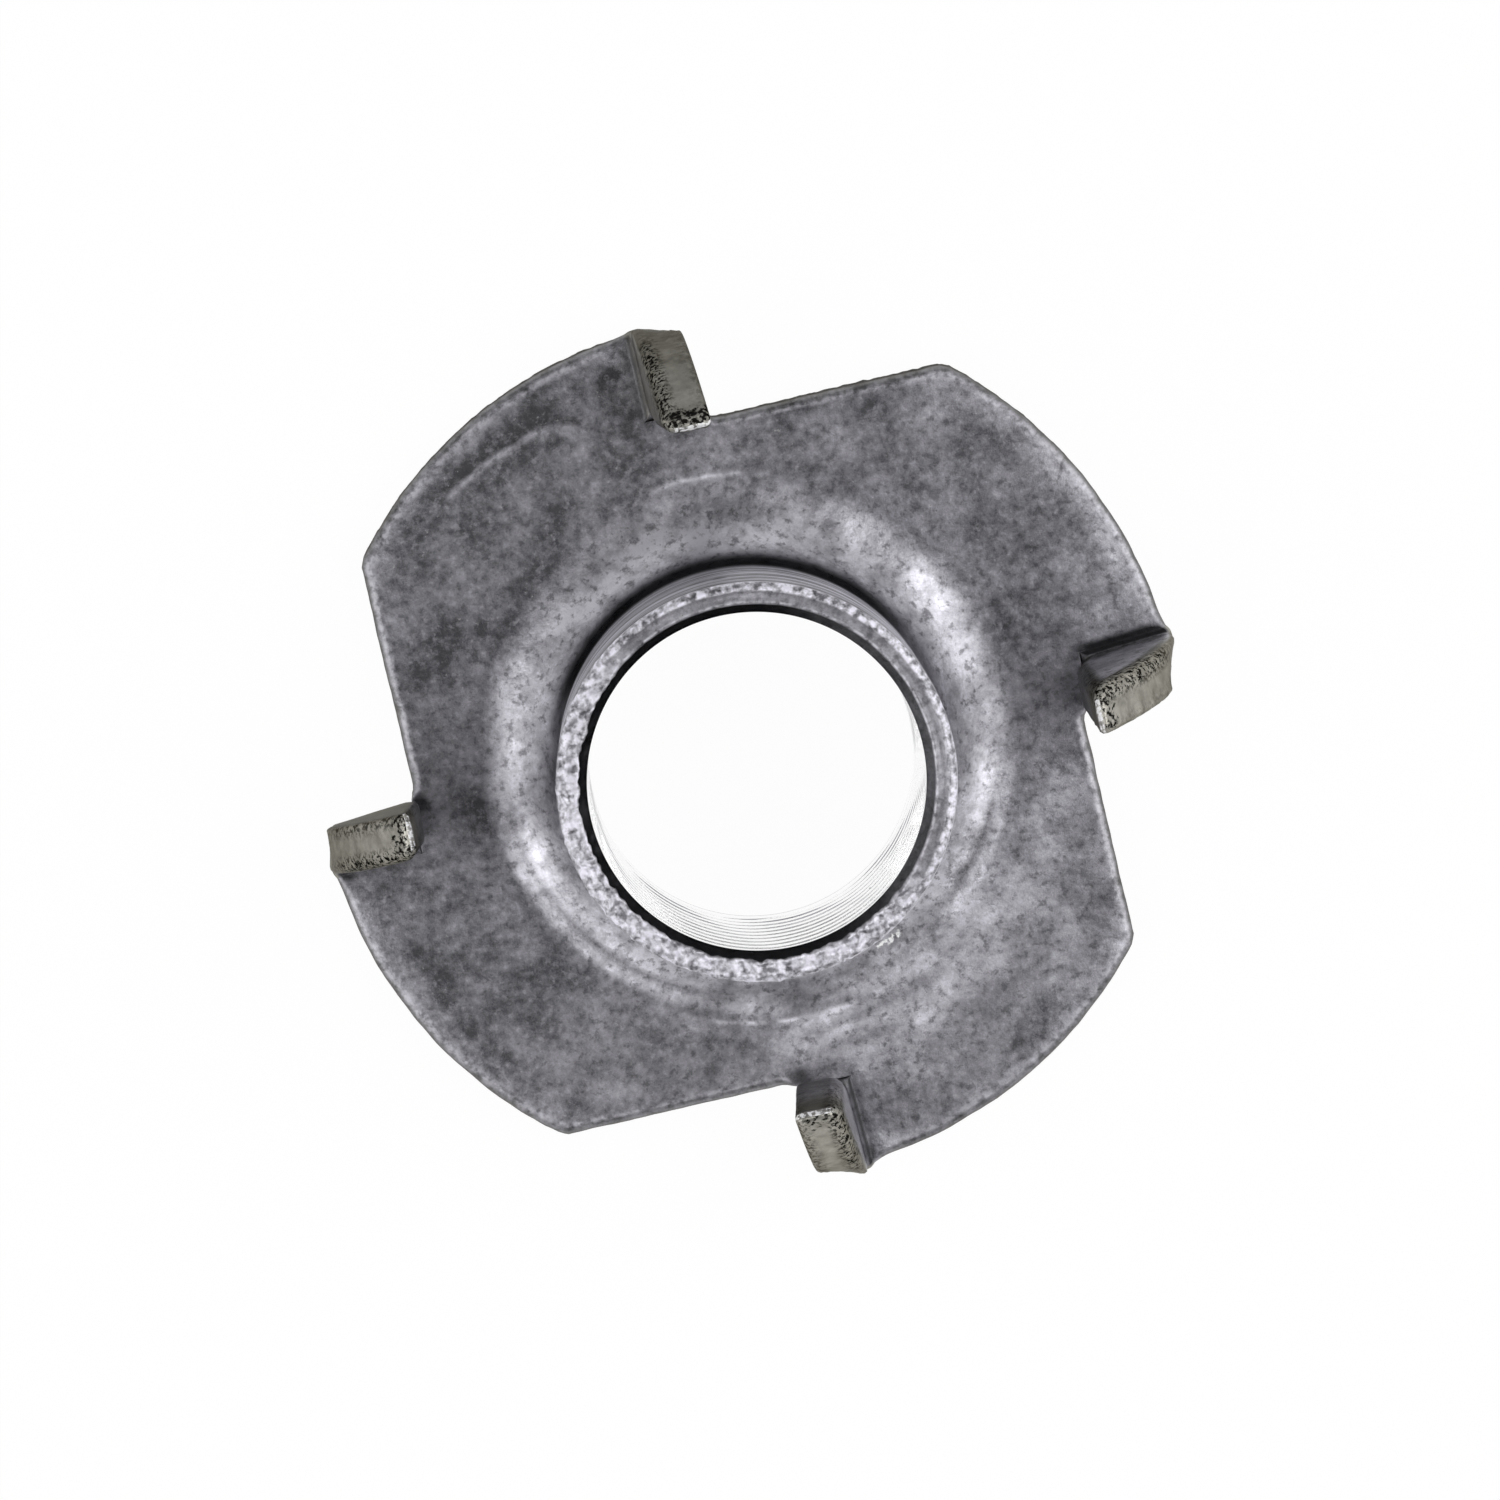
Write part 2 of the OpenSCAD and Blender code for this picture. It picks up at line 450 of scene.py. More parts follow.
def lay_rings(face, n, ring_count):
    """Lays the flat part of one face at height n, and returns its rings."""
    top = face == "top"
    bed = []
    for k in range(prong_count):
        rim = [p + inward * edge_lip[face] * scale for p, inward, scale in quarters[k]]
        inner, outer = rim[cut_steps + slit_steps - 1], rim[cut_steps + slit_steps]
        hinge = [inner.lerp(outer, (i + 1) / (fold_steps + 1)) for i in range(fold_steps)]
        bed.append(rim[:cut_steps + slit_steps] + hinge + rim[cut_steps + slit_steps:])
    rings = []
    for m in range(ring_count + 1):
        share = m / ring_count
        ring = []
        for j in range(around):
            k, i = divmod(j, quarter)
            a = turn_of(j)
            ex, ey, _ = place(k, bed[k][i].x, bed[k][i].y, n)
            x = ring_r * math.cos(a) * (1 - share) + ex * share
            y = ring_r * math.sin(a) * (1 - share) + ey * share
            dz, tone = press_marks(x, y) if top else (0.0, 0.3 * wander(x, y, 0, 2.0, 7.7))
            fold, painted_shade, rubbed = near_fold(k, x, y)
            ring.append(add((x, y, n + dz * ease(0.0, 0.1, share) * (1 - fold)), tone=tone + rubbed,
                            dark=painted_shade if top else 0.0, worn=0.35 * ease(0.94, 1.0, share) * (1 - fold)))
            if m == ring_count:
                flat[ring[-1]] = bed[k][i]
        rings.append(ring)
        if m:
            stitch(rings[-2], ring)
    return rings


print("rings on the upper face:", top_ring_count, "and on the back:", back_ring_count)

# %% [markdown]
# The hinge carries on as the first row of a prong, and every further row lies a little higher. Rows
# near the tip fall back behind its shoulder, to leave room for the wide lip there. The back is plain,
# so it has fewer rings than the upper face.

# %% Rows of the prongs
def lay_prong(face, n, k, hinge_row):
    """Lays one face of a prong on from its hinge, and returns its rows."""
    end_w = -math.sqrt((flange_r - tip_lip[face]) ** 2 - (inner_x + tip_lip[face] + 0.05) ** 2)
    rows = [hinge_row]
    for v in range(1, prong_rows + 1):
        rise = v / prong_rows
        lag = (end_w - shoulder_w) * rise ** 4
        w0, w1 = edge_w(k, inner_x, rise) + lag, edge_w(k, flange_r, rise) + lag
        along = fold_line(k, inner_x) - w0
        x0 = inner_edge(k, along) + lip_on(face, "inner", along, rise)
        x1 = outer_edge(w1, lip_on(face, "outer", along, rise))
        row = []
        for u in range(fold_steps + 2):
            share = u / (fold_steps + 1)
            x, w = x0 + (x1 - x0) * share, w0 + (w1 - w0) * share
            border = ease(0.4, 0.05, x1 - x)
            mark = prong_back_marks(border, rise)
            if face == "top":
                mark = prong_marks(k, x, w, border, rise)
            row.append(add(place(k, x, w, n, tab=True), **mark))
            flat[row[-1]] = Vector((x, w))
        stitch(rows[-1], row, closed=False)
        rows.append(row)
    return rows


def make_face(face, n, ring_count):
    """Lays one face of the sheet, and returns its rings and the rows of each prong."""
    rings = lay_rings(face, n, ring_count)
    prongs = []
    for k in range(prong_count):
        first = k * quarter + cut_steps + slit_steps - 1
        prongs.append(lay_prong(face, n, k, rings[-1][first:first + fold_steps + 2]))
    return rings, prongs


top_rings, top_prongs = make_face("top", sheet_t, top_ring_count)
back_rings, back_prongs = make_face("back", 0.0, back_ring_count)
print("points on the two faces:", len(points))

# %% [markdown]
# ## The sheared edge
# A shear leaves three zones down an edge: a rounded lip, a smooth burnished band, and a torn band
# below it. A strip of points goes all the way round the sheet, over the flange, up one side of each
# prong, over its tip and down the other, with small noise in the torn band.

# %% Walk round the edge of the sheet
def edge_walk():
    """Every edge column: quarter, flat place, way into the metal, side, rise and its two ends."""
    walk = []
    shoulder_x = outer_edge(shoulder_w)
    corner = cut_steps + slit_steps
    for k in range(prong_count):
        top, back = top_prongs[k], back_prongs[k]
        sides = [(p, inward) for p, inward, _ in quarters[k]]
        for i in range(corner):
            j = k * quarter + i
            walk.append((k, *sides[i], "flange", 0.0, top_rings[-1][j], back_rings[-1][j]))
        for v in range(1, prong_rows + 1):
            w = edge_w(k, inner_x, v / prong_rows)
            p = Vector((inner_edge(k, fold_line(k, inner_x) - w), w))
            walk.append((k, p, Vector((1, 0)), "inner", v / prong_rows, top[v][0], back[v][0]))
        for u in range(1, fold_steps + 1):
            share = u / (fold_steps + 1)
            x = inner_x + (shoulder_x - inner_x) * share
            p = Vector((x, shoulder_w - nose * math.sin(math.pi * share)))
            side = "tip" if share < 0.42 else "tip_back"
            walk.append((k, p, Vector((0, 1)), side, 1.0, top[-1][u], back[-1][u]))
        for v in range(prong_rows, 0, -1):
            w = edge_w(k, flange_r, v / prong_rows)
            p = Vector((outer_edge(w), w))
            walk.append((k, p, -p / flange_r, "outer", v / prong_rows, top[v][-1], back[v][-1]))
        for i in range(arc_steps):
            j = k * quarter + corner + fold_steps + i
            walk.append((k, *sides[corner + i], "flange", 0.0, top_rings[-1][j], back_rings[-1][j]))
    return walk


steps = edge_walk()
print("the walk round the edge has", len(steps), "steps")

# %% [markdown]
# The prongs' edges are bare metal in a warmer grey, pitted along their borders, with painted shade on some of
# them. The inner corner of each tip is worn bright and painted white as a highlight, and behind it lies a
# dark patch. The flange's edge is worn a little on its lip and dark below.

# %% Marks on the edge
# The dark patch behind each tip, and the painted highlight on its worn inner corner, prong by prong
tip_dark_patch = (0.55, 0.75, 0.6, 0.45)
tip_bright = (0.85, 1.0, 0.75, 0.8)
# Painted shade on the outer edge and on the inner edge of each prong
edge_shade = (0.0, 0.45, 0.16, 0.0)
inner_shade = (0.1, 0.35, 0.0, 0.34)
far_pits = (0.3, 0.3, 0.8, 0.7)


def edge_marks(k, side, rise, depth, lip_share):
    """Marks on the edge: depth goes from 1 at the upper face to 0 at the back."""
    if side == "flange":
        below = 1 - lip_share
        return {"worn": 0.3 * lip_share, "dark": 0.75 * below, "sheared": 0.8 * below, "tone": -0.9}
    rolled, middle = ease(0.52, 0.76, depth), ease(0.88, 0.75, depth)
    mark = {"sheared": 1.0, "pitted": ease(0.15, 0.6, rise) * (rolled + far_pits[k] * ease(0.35, 0.1, depth))}
    if side == "inner":
        mark["sheared"] = 0.3 + 0.7 * ease(0.5, 0.9, rise)
        # Painted shade on the inner edge, along its middle and where it leaves the slit
        at_slit = 0.5 * ease(0.15, 0.06, rise)
        mark["dark"] = max(inner_shade[k] * middle * ease(0.03, 0.2, rise), at_slit)
    elif side == "tip":
        # Painted highlight on the worn inner corner of the tip
        mark["bright"] = tip_bright[k] * middle
    elif side == "tip_back":
        mark["soot"] = tip_dark_patch[k] * middle
    else:
        mark["soot"] = tip_dark_patch[k] * ease(0.93, 0.98, rise) * middle
        # Painted shade on the outer edge
        mark["dark"] = edge_shade[k]
    return mark


print("bright chips on the tips:", tip_bright)

# %% [markdown]
# At each step a column of points goes down the edge: round the lip, down the wall and round the
# smaller lip at the back. Neighbouring columns are stitched, and the last meets the first.

# %% Lay the edge strip
strip_angles = (30, 60, 90)
wall_steps = 6
torn_depth = 0.04


def edge_column(k, p, inward, side, rise, top_end, back_end):
    """Points down the edge from the upper face to the back."""
    tab = side != "flange"
    upper, lower = flat[top_end], flat[back_end]
    lip, low = min((upper - p).length, 0.3), min((lower - p).length, 0.18)
    levels = []
    for a in strip_angles:
        s, c = math.sin(math.radians(a)), math.cos(math.radians(a))
        levels.append((p.lerp(upper, 1 - s), sheet_t - lip * (1 - c), c))
    for m in range(1, wall_steps):
        levels.append((p, sheet_t - lip - (sheet_t - lip - low) * m / wall_steps, 0.0))
    for a in reversed(strip_angles):
        s, c = math.sin(math.radians(a)), math.cos(math.radians(a))
        levels.append((p.lerp(lower, 1 - s), low * (1 - c), 0.0))
    top_z = 0.0 if tab else points[top_end][2] - sheet_t
    column = [top_end]
    for q, n, lip_share in levels:
        x, y, z = place(k, q.x, q.y, n, tab)
        torn = ease(0.8 * sheet_t, 0.4 * sheet_t, n)
        push = torn_depth * (torn * wander(x, y, z, 0.16, 1.9) + 0.4 * wander(x, y, z, 0.6, 4.4) * tab)
        x, y, z = place(k, q.x + inward.x * push, q.y + inward.y * push, n, tab)
        mark = edge_marks(k, side, rise, n / sheet_t, lip_share)
        column.append(add((x, y, z + top_z * n / sheet_t), **mark))
    column.append(back_end)
    return column


columns = [edge_column(*step) for step in steps]
for here, after in zip(columns, columns[1:] + columns[:1]):
    stitch(here, after, closed=False)
print("edge strip:", len(columns), "columns of", len(columns[0]), "points")

# %% [markdown]
# ## The drawn barrel
# The barrel is a lathe form: one section turned about the axis. It rises from the flange over the
# root radius to a rim, goes over a bevel into the bore and flares out again at the back.
# The rim was pierced and tore on one side. A bump map would leave its outline smooth, so the points
# themselves are pushed about by a coarse and a fine noise.

# %% Rings of the barrel and its torn rim
rim_round = 0.2
mouth_bevel = 0.25
torn_from, torn_to = math.radians(120), math.radians(325)
tear = 0.075


def ring_of(r, z, count, shape=None, mark=None):
    """A ring about the axis. Shape moves its points and mark gives them marks."""
    ring = []
    for j in range(count):
        a = turn_of(j * around // count)
        dr, dz = shape(a, r, z) if shape else (0.0, 0.0)
        x, y = (r + dr) * math.cos(a), (r + dr) * math.sin(a)
        ring.append(add((x, y, z + dz), **(mark(a, x, y) if mark else {})))
    return ring


def torn_share(a):
    """How torn the rim is at an angle, from 0 to 1."""
    a = a % (2 * math.pi)
    return ease(torn_from, torn_from + 0.35, a) * ease(torn_to, torn_to - 0.35, a)


def torn_rim(a, r, z):
    """How far a point of the rim is pushed outward and up."""
    x, y = r * math.cos(a), r * math.sin(a)
    fine = wander(x, y, z, 0.15, 2.2)
    coarse = wander(x, y, z, 0.4, 6.4)
    rough = 0.012 + tear * torn_share(a)
    return rough * (0.6 * fine + 0.5 * coarse), rough * (0.8 * fine - 0.6 * coarse) - 0.3 * rough


torn_degrees = math.degrees(torn_to - torn_from)
print("torn part of the rim:", round(torn_degrees), "degrees, up to", tear, "mm deep")

# %% [markdown]
# On one side the root of the barrel carries painted shade, and a second, narrow painted shade lies under the
# rim there. Round the foot lie painted highlights, lightest in rings, one scratch painted white as a
# highlight and, on the wall, a nick. The bevel inside the mouth is painted black as shade, a little lighter
# on the side that faces the left softbox. Angles are measured from the first prong.

# %% Marks on the barrel
shade_angle = math.radians(93)
nick_at, nick_z = math.radians(89), 8.0
lamp_line = math.radians(8)
scratch_at, scratch_r = math.radians(295), 6.0
# Angle, spread and strength of the painted highlight rings at the foot
foot_highlights = ((222, 32, 1.9), (322, 18, 1.7))


def shaded(a):
    """The side of the root where shade is painted."""
    return ease(-0.15, 0.7, math.cos(a - shade_angle))


def fillet_mark(a, x, y):
    """Marks on the root radius: painted highlights, kept weaker where the lamps at the sides shine on it,
    painted shade on one side of the root, and the scratch, painted white as a highlight.
    """
    r = math.hypot(x, y)
    grain = 0.4 * wander(x, y, 0, 0.8, 3.3) + 0.7 * wander(x, y, 0, 0.25, 9.3)
    _, tone = press_marks(x, y)
    lit = math.cos(a - lamp_line) ** 2
    painted_foot_light = 2.4 * ease(6.35, 5.6, r) * (1 - 0.6 * lit) * (1 + 0.5 * grain)
    tone += 0.9 * hump(6.15, 0.4, r) * (0.8 + grain) + painted_foot_light
    for middle, spread, gain in foot_highlights:
        off = (math.degrees(a) - middle + 180) % 360 - 180
        rings = hump(6.62, 0.17, r) + 0.7 * hump(6.0, 0.2, r) - 0.8 * hump(6.31, 0.08, r)
        tone += gain * (1 + grain) * hump(0, spread, off) * rings
    # The scratch, painted white as a highlight through the bright mark
    scratch = min(1.7 * hump(scratch_at, 0.07, a % (2 * math.pi)) * hump(scratch_r, 0.07, r), 1.0)
    # Painted shade at the root, on one side
    dark = 0.92 * shaded(a) * ease(barrel_r + 0.38, barrel_r + 0.12, r)
    return {"dark": dark, "tone": tone, "bright": scratch}


def wall_mark(z):
    """Marks on the wall at one height: painted shade at the root and under the rim, and the nick."""
    def mark(a, x, y):
        nick = hump(nick_at, 0.03, a % (2 * math.pi)) * hump(nick_z, 0.3, z)
        painted_shade = shaded(a) * (0.92 * ease(4.5, 3.5, z) + 0.5 * ease(9.7, 10.6, z))
        return {"dark": max(painted_shade, nick), "drawn": 1.0}
    return mark


def rim_mark(smooth, torn):
    """Wear on the rim, given for its smooth and for its torn side."""
    def mark(a, x, y):
        share = torn_share(a)
        return {"worn": smooth + (torn - smooth) * share, "tone": 0.9 * share - 0.75}
    return mark


def mouth_mark(a, x, y):
    """Painted shade on the bevel inside the mouth, a little lighter on the side that faces the left softbox.
    """
    return {"dark": 0.98 - 0.3 * ease(0.2, 0.9, math.cos(a))}


print("the scratch lies", scratch_r, "mm from the axis")

# %% [markdown]
# The section lists every ring from the flange up and over the rim: its radius, its height, what
# moves its points and what marks them. Each ring is then stitched to the one before.

# %% Section of the barrel
section = []
for degrees in range(5, 91, 5):
    b = math.radians(degrees)
    section.append((barrel_r + root_r - root_r * math.sin(b), sheet_t + root_r - root_r * math.cos(b),
                    None, fillet_mark))
wall_low, wall_high = sheet_t + root_r, height - rim_round
for i in range(1, 13):
    z = wall_low + (wall_high - wall_low) * i / 12
    section.append((barrel_r, z, None, wall_mark(z)))
for degrees in (25, 50, 75, 90):
    b = math.radians(degrees)
    section.append((barrel_r - rim_round * (1 - math.cos(b)), wall_high + rim_round * math.sin(b),
                    torn_rim, rim_mark(0.9, 0.85)))
rim_out, rim_in = barrel_r - rim_round, bore_r + mouth_bevel
for i in range(1, 6):
    share = i / 6
    section.append((rim_out + (rim_in - rim_out) * share, height - 0.03 * math.sin(math.pi * share),
                    torn_rim, rim_mark(0.1, 0.7)))
section.append((rim_in, height - 0.01, torn_rim, rim_mark(0.6, 0.9)))
section.append((rim_in - 0.03, height - 0.03, torn_rim, rim_mark(0.3, 0.5)))
section.append((rim_in - 0.06, height - 0.07, torn_rim, mouth_mark))
section.append((bore_r + 0.08, height - mouth_bevel + 0.04, torn_rim, mouth_mark))
section.append((bore_r, height - mouth_bevel - 0.04, None, mouth_mark))

ring = top_rings[0]
for r, z, shape, mark in section:
    following = ring_of(r, z, around, shape, mark)
    stitch(following, ring)
    ring = following
print("barrel section:", len(section), "rings of", around)

# %% [markdown]
# ## The thread and the back
# A tap cuts the thread after pressing. A screw modifier could make it, but then it would have to be
# joined to the bore. Its depth at each point of the bore follows from the height and the angle
# alone, so a plain grid of rings is enough to carry a true right-hand helix. The bore has half as
# many columns as the outside, and at its back end it flares out over the draw radius.

# %% Bore, thread and draw radius
pitch = 0.75
thread_depth = 0.32
rows_per_pitch = 8
bore_columns = around // 2


def even(**mark):
    """The same marks all round a ring."""
    return lambda a, x, y: mark


def thread_cut(a, r, z):
    """How far the groove of the thread is cut into the bore."""
    turn_share = (z / pitch - a / (2 * math.pi)) % 1.0
    flank = min(ease(0.68, 0.84, turn_share), ease(1.0, 0.84, turn_share))
    fade = ease(draw_r + 0.1, draw_r + 0.9, z) * ease(height - 0.35, height - 0.9, z)
    return thread_depth * flank * fade, 0.0


bore_top, bore_low = height - 0.35, draw_r
bore_rows = int((bore_top - bore_low) / pitch * rows_per_pitch)
following = ring_of(bore_r, bore_top, bore_columns, thread_cut, even(polished=1.0))
stitch_half(ring, following)
ring = following
for i in range(1, bore_rows + 1):
    z = bore_top + (bore_low - bore_top) * i / bore_rows
    following = ring_of(bore_r, z, bore_columns, thread_cut, even(polished=1.0))
    stitch(ring, following)
    ring = following
for degrees in range(84, 5, -6):
    b = math.radians(degrees)
    following = ring_of(bore_r + draw_r - draw_r * math.sin(b), draw_r - draw_r * math.cos(b),
                        bore_columns, None, even(tone=0.6))
    stitch(ring, following)
    ring = following
stitch_half(back_rings[0], ring)
print("thread turns:", round((bore_top - bore_low) / pitch, 1))

# %% [markdown]
# ## One closed mesh
# The rows become a mesh, and each mark becomes an attribute that the material can read by its name.
# An edge that belongs to fewer or more than two faces would be a hole or a stray face, so they are
# counted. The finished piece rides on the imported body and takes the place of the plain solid.

# %% Close the mesh
mesh = bpy.data.meshes.new("tee_nut_sheet")
mesh.from_pydata([Vector(p) * MM for p in points], [], faces)
for name, values in marks.items():
    layer = mesh.attributes.new(name, "FLOAT", "POINT")
    layer.data.foreach_set("value", values)
shell = bmesh.new()
shell.from_mesh(mesh)
bmesh.ops.recalc_face_normals(shell, faces=shell.faces)
open_edges = sum(1 for e in shell.edges if len(e.link_faces) != 2)
shell.to_mesh(mesh)
shell.free()
mesh.shade_smooth()
nut = bpy.data.objects.new("tee_nut_sheet", mesh)
bpy.context.scene.collection.objects.link(nut)
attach(nut, "root")
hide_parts("tee_nut")
triangles = sum(len(p.vertices) - 2 for p in mesh.polygons)
print("triangles:", triangles, "open edges:", open_edges)

# %% [markdown]
# ## The finish
# The steel is dull and mottled, with dark pits and light grains of many sizes. Where it was sheared the bare
# metal shows in a warmer grey, and edges are worn bright. Painted highlights and painted shade are mixed into
# the colour as well. A painted image could hold all of that, but noise has no seams and stays sharp from
# near. A few helpers keep the node tree readable: each makes one node, fills its sockets with values or
# links, and gives back its output.

# %% Node helpers
steel = bpy.data.materials.new("mottled_steel")
steel.use_nodes = True
nodes, links = steel.node_tree.nodes, steel.node_tree.links
shader = nodes["Principled BSDF"]
BLACK, WHITE = (0.0, 0.0, 0.0), (1.0, 1.0, 1.0)


def connect(value, socket):
    """Links a socket to a node's output, or sets it to a plain value."""
    if isinstance(value, bpy.types.NodeSocket):
        links.new(value, socket)
    else:
        socket.default_value = value


def math_node(operation, *values):
    """One step of arithmetic. MULTIPLY_ADD takes three values, the others two."""
    made = nodes.new("ShaderNodeMath")
    made.operation = operation
    for value, socket in zip(values, made.inputs):
        connect(value, socket)
    return made.outputs[0]


def cloud(vector, scale, detail, roughness):
    """Fractal noise."""
    made = nodes.new("ShaderNodeTexNoise")
    connect(vector, made.inputs["Vector"])
    connect(scale, made.inputs["Scale"])
    connect(detail, made.inputs["Detail"])
    connect(roughness, made.inputs["Roughness"])
    return made.outputs["Fac"]


def ramp(fac, *stops):
    """Turns a number into a colour, from pairs of a position and a colour."""
    made = nodes.new("ShaderNodeValToRGB")
    band = made.color_ramp
    while len(band.elements) < len(stops):
        band.elements.new(0.5)
    for element, (position, colour) in zip(band.elements, stops):
        element.position = position
        element.color = (*colour, 1.0)
    connect(fac, made.inputs["Fac"])
    return made.outputs["Color"]


def mix(fac, a, b):
    """Goes from colour a to colour b."""
    made = nodes.new("ShaderNodeMix")
    made.data_type = "RGBA"
    connect(fac, made.inputs["Factor"])
    connect(a, made.inputs[6])
    connect(b, made.inputs[7])
    return made.outputs[2]


def mark_of(name):
    """Reads a mark from the points of the mesh."""
    made = nodes.new("ShaderNodeAttribute")
    made.attribute_name = name
    return made.outputs["Fac"]


def broken(name, grain, share):
    """A mark whose edge is broken up by a grain."""
    return ramp(math_node("MULTIPLY_ADD", mark_of(name), share, grain), (0.7, BLACK), (0.8, WHITE))


def grey(value):
    """The cool grey of the steel."""
    return (value, value * 0.985, value * 1.07)


print("material:", steel.name)

# %% [markdown]
# ### The mottled ground
# One fractal noise gives the mottling, and the tone mark pushes it lighter or darker before a ramp
# makes it a colour. Dark pits and light specks lie over it. On the barrel the drawing die left fine
# bright lines, so a noise is squeezed along the axis there until its grains become rings.

# %% Mottled steel
coords = nodes.new("ShaderNodeTexCoord").outputs["Object"]
scaled = nodes.new("ShaderNodeMapping")
scaled.inputs["Scale"].default_value = (1 / MM, 1 / MM, 1 / MM)
links.new(coords, scaled.inputs["Vector"])
place_mm = scaled.outputs["Vector"]

mottle = cloud(place_mm, 0.65, 9, 0.8)
pits = cloud(place_mm, 4.0, 5, 0.68)
toned = math_node("MULTIPLY_ADD", mark_of("tone"), 0.09, mottle)
steel_colour = ramp(toned, (0.28, grey(0.07)), (0.5, grey(0.28)), (0.62, grey(0.46)), (0.75, grey(0.75)))
pit_fac = ramp(pits, (0.35, WHITE), (0.47, BLACK))
steel_colour = mix(math_node("MULTIPLY", pit_fac, 0.62), steel_colour, (0.06, 0.06, 0.065, 1))
specks = ramp(cloud(place_mm, 4.0, 4, 0.65), (0.54, BLACK), (0.7, WHITE))
steel_colour = mix(math_node("MULTIPLY", specks, 0.25), steel_colour, (*grey(0.62), 1))

stretched = nodes.new("ShaderNodeMapping")
stretched.inputs["Scale"].default_value = (0.12, 0.12, 3.0)
links.new(place_mm, stretched.inputs["Vector"])
lines = ramp(cloud(stretched.outputs["Vector"], 1.0, 4, 0.6), (0.42, BLACK), (0.56, WHITE))
steel_colour = mix(math_node("MULTIPLY", mark_of("drawn"), lines), steel_colour, (*grey(0.9), 1))
print("nodes for the mottled ground:", len(nodes))

# %% [markdown]
# ### Bare metal, wear, painted highlights and painted shade
# These are laid over the ground in this order. The shear bared the metal and pitted it, use wore the edges,
# the worn tips and the scratch get a painted highlight in pure white, the tap polished the bore, the dark
# patches behind the tips follow, and the painted shade of the dark mark comes last. A grain breaks up the
# wear, the highlights and the dark patches, so that they don't end in a clean line.

# %% Bare metal, wear, painted highlights and painted shade
bare = ramp(cloud(place_mm, 2.2, 6, 0.65), (0.3, (0.28, 0.272, 0.243)), (0.7, (0.52, 0.506, 0.457)))
steel_colour = mix(mark_of("sheared"), steel_colour, bare)
flecks = ramp(cloud(place_mm, 9.0, 4, 0.7), (0.46, WHITE), (0.52, BLACK))
steel_colour = mix(math_node("MULTIPLY", mark_of("pitted"), flecks), steel_colour, (0.012, 0.011, 0.01, 1))
scuffs = ramp(cloud(place_mm, 4.8, 2, 0.6), (0.38, BLACK), (0.62, WHITE))
chips = cloud(place_mm, 8.0, 3, 0.6)
worn = math_node("MULTIPLY", mark_of("worn"), scuffs)
steel_colour = mix(worn, steel_colour, (*grey(0.92), 1))
# The bright mark, on the worn tips and the scratch, goes to pure white as a painted highlight
bright_wear_and_highlight = broken("bright", chips, 0.33)
steel_colour = mix(bright_wear_and_highlight, steel_colour, (1, 1, 1, 1))
wear = math_node("MAXIMUM", worn, bright_wear_and_highlight)
steel_colour = mix(mark_of("polished"), steel_colour, (0.97, 0.97, 0.97, 1))
steel_colour = mix(broken("soot", chips, 0.4), steel_colour, (0.014, 0.013, 0.012, 1))
# The dark mark is mostly painted shade: in and beside the folds, at the slits, on prong edges, at the root
# and under the rim of the barrel and in the mouth; the rest is the dark torn edge of the flange, the backs of
# the prongs and the nick
steel_colour = mix(mark_of("dark"), steel_colour, (0.012, 0.012, 0.013, 1))
links.new(steel_colour, shader.inputs["Base Color"])
print("nodes with wear and dirt:", len(nodes))

# %% [markdown]
# ### Shine and grain
# Clean metal flashes white when it is seen at a flat angle. Torn metal doesn't, and the shader's specular
# tint holds that flash back; it is held back too where the dark mark is deep, so that the painted shade stays
# black. Worn metal is rougher than the rest and the tapped bore is smoother. A shallow bump gives the skin
# its fine grain, and larger forms are in the mesh.

# %% Shine and grain
glint = mix(mark_of("sheared"), (1, 1, 1, 1), (0.3, 0.29, 0.26, 1))
# Where the dark mark is deep, mostly painted shade, the flash is held back too
darkened = math_node("MULTIPLY", mark_of("dark"), mark_of("dark"))
links.new(mix(darkened, glint, (0.14, 0.14, 0.14, 1)), shader.inputs["Specular Tint"])
shader.inputs["Metallic"].default_value = 1.0

rough = nodes.new("ShaderNodeMapRange")
rough.inputs["To Min"].default_value = 0.3
rough.inputs["To Max"].default_value = 0.5
links.new(mottle, rough.inputs["Value"])
dull = math_node("MULTIPLY_ADD", wear, 0.3, rough.outputs["Result"])
smooth = math_node("MULTIPLY_ADD", mark_of("polished"), -0.3, dull)
links.new(smooth, shader.inputs["Roughness"])
grain = nodes.new("ShaderNodeBump")
links.new(math_node("MULTIPLY_ADD", mark_of("polished"), -0.5, 0.5), grain.inputs["Strength"])
grain.inputs["Distance"].default_value = 0.04 * MM
links.new(cloud(place_mm, 4.5, 8, 0.7), grain.inputs["Height"])
links.new(grain.outputs["Normal"], shader.inputs["Normal"])
mesh.materials.append(steel)
print("finish:", steel.name, "with", len(nodes), "nodes")

# %% [markdown]
# ## Floor and light
# The picture has a pure white ground. A floor lit to white would also flood the nut with light. This
# one shows white only to the camera and in reflections, and keeps a share of plain paint so that
# the nut still drops a soft shadow on it.

